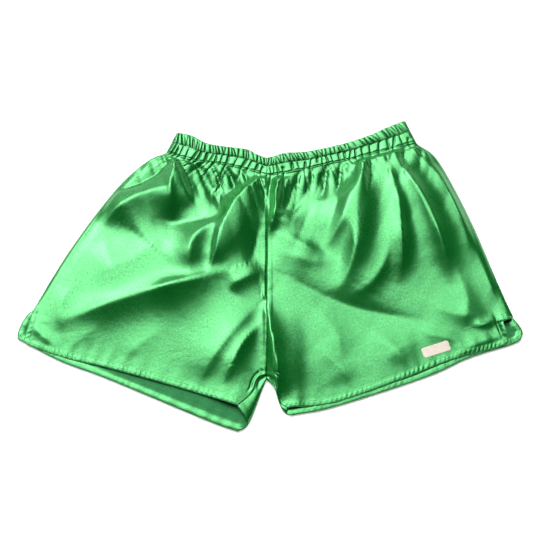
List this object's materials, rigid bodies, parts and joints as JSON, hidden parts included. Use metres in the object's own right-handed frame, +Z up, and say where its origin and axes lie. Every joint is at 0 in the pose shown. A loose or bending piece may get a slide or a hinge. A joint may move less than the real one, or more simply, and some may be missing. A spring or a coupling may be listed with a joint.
{
  "type": "boxing shorts",
  "caption": "Satin boxing shorts laid flat, with a gathered elastic waist, rise seams, narrow hems and curved side vents; the two halves fold together.",
  "frame": {"origin": "on the table under the line of the rise seams, in the middle of the overall length: the bottom centre of the bounding box of the shorts laid flat", "axes": "+X towards the wearer's left, +Y from the hems towards the waist, +Z up from the table through the front of the shorts"},
  "size_m": [0.634, 0.437, 0.0241],
  "materials": {
    "satin": "glossy green satin, creased, with a soft sheen",
    "thread": "green polyester sewing thread",
    "seam_allowance": "overlocked satin edges in green thread",
    "elastic": "white knitted elastic, hidden in the casing",
    "print": "thin matt cream print"
  },
  "bodies": {
    "left_half": {"front_panel_left": "satin", "back_panel_left": "satin", "side_seam_overlock_left": "seam_allowance", "inseam_overlock_left": "seam_allowance", "hem_stitching_front_left": "thread", "hem_stitching_back_left": "thread", "channel_stitching_front_left": "thread", "channel_stitching_back_left": "thread", "casing_edge_stitching_front_left": "thread", "casing_edge_stitching_back_left": "thread", "front_rise_overlock": "seam_allowance", "back_rise_overlock": "seam_allowance", "printed_patch": "print", "waist_elastic": "elastic"},
    "right_half": {"front_panel_right": "satin", "back_panel_right": "satin", "side_seam_overlock_right": "seam_allowance", "inseam_overlock_right": "seam_allowance", "hem_stitching_front_right": "thread", "hem_stitching_back_right": "thread", "channel_stitching_front_right": "thread", "channel_stitching_back_right": "thread", "casing_edge_stitching_front_right": "thread", "casing_edge_stitching_back_right": "thread"}
  },
  "joints": [
    {"name": "centre_fold", "type": "hinge", "parent": "left_half", "child": "right_half", "pos_m": [0, 0, 0.028], "axis": [0, 1, 0], "range_deg": [0, 178], "deforming": ["waist_elastic"]}
  ]
}
